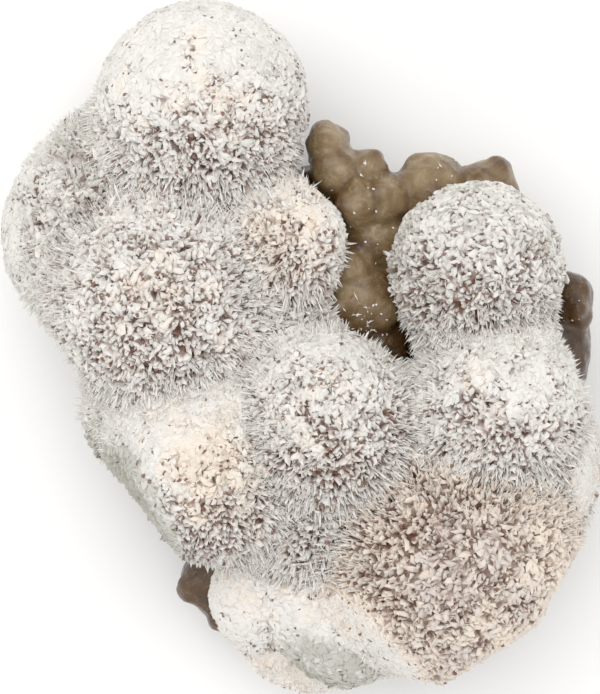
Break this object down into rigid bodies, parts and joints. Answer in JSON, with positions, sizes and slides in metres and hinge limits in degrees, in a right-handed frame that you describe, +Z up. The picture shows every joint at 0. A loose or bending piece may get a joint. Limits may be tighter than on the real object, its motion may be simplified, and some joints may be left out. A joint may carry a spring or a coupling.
{
  "type": "mordenite on stilbite specimen",
  "caption": "Display mineral specimen that rests on a flat spot: white balls of radiating mordenite needles grown side by side on a crust of rounded honey-brown stilbite crystals.",
  "frame": {"origin": "middle of the specimen's box, on the surface that it lies on", "axes": "+Z up, from the flat spot on the stilbite's back to the needle balls; +Y along the specimen's length, towards the large free ball at its top end; +X towards the side where the stilbite shows"},
  "size_m": [0.1028, 0.1184, 0.0495],
  "materials": {
    "mordenite": "felted white needles, matt, with a faint pink and cream tint",
    "stilbite": "translucent honey-brown crystal with a waxy to pearly lustre"
  },
  "bodies": {
    "root": {"stilbite_matrix": "stilbite", "mordenite_ball_top": "mordenite", "mordenite_ball_left": "mordenite", "mordenite_ball_middle_left": "mordenite", "mordenite_ball_small": "mordenite", "mordenite_ball_lower_left": "mordenite", "mordenite_ball_centre": "mordenite", "mordenite_ball_upper_right": "mordenite", "mordenite_ball_right": "mordenite", "mordenite_ball_lower_right": "mordenite", "mordenite_ball_right_edge": "mordenite", "mordenite_ball_bottom_left": "mordenite", "mordenite_ball_bottom": "mordenite", "mordenite_ball_bottom_middle": "mordenite"}
  },
  "joints": []
}
